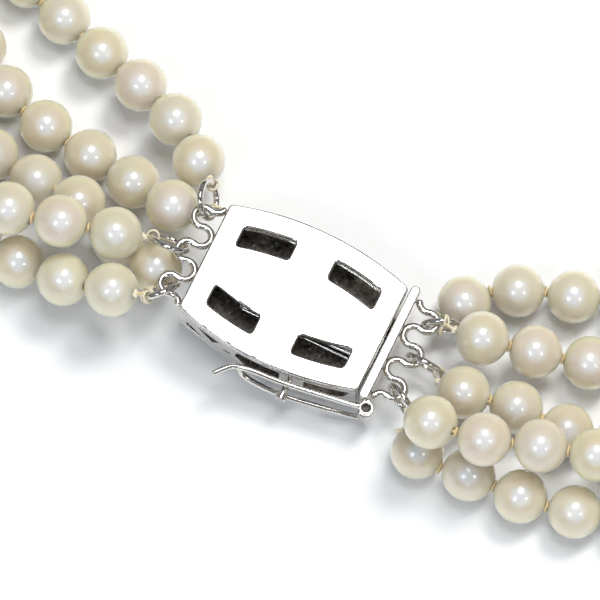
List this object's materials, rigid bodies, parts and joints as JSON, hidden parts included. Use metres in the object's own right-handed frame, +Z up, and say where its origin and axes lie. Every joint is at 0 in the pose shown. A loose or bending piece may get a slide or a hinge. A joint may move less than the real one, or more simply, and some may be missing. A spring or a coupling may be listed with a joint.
{
  "type": "multi strand pearl necklace",
  "caption": "Strands of round pearls in one closed loop lying flat, joined by a barrel shaped box clasp with a spring tongue, jump rings and a swinging safety catch.",
  "frame": {"origin": "on the surface that the necklace lies on, below the middle of its loop", "axes": "+Z up, square to the flat loop; +X along the clasp from its box to its tongue; +Y from the clasp to the far side of the loop"},
  "size_m": [0.1682, 0.1641, 0.0116],
  "materials": {
    "white_gold": "mirror polished",
    "pearl": "lustrous nacre",
    "silk": "twisted silk"
  },
  "bodies": {
    "necklace": {"clasp_box": "white_gold", "clasp_tongue": "white_gold", "ring_left_1": "white_gold", "ring_left_2": "white_gold", "ring_left_3": "white_gold", "ring_right_1": "white_gold", "ring_right_2": "white_gold", "ring_right_3": "white_gold", "pearls_inner": "pearl", "thread_inner": "silk", "strand_second": "pearl", "pearls_third": "pearl", "thread_third": "silk", "pearls_top": "pearl", "thread_top": "silk", "strand_outer": "pearl"},
    "catch": {"safety_catch": "white_gold"}
  },
  "joints": [
    {"name": "catch_swing", "type": "hinge", "parent": "necklace", "child": "catch", "pos_m": [0.00761, -0.07756, 0.00258], "axis": [0.1004, -0.1167, 0.9881], "range_deg": [0, 90]}
  ]
}
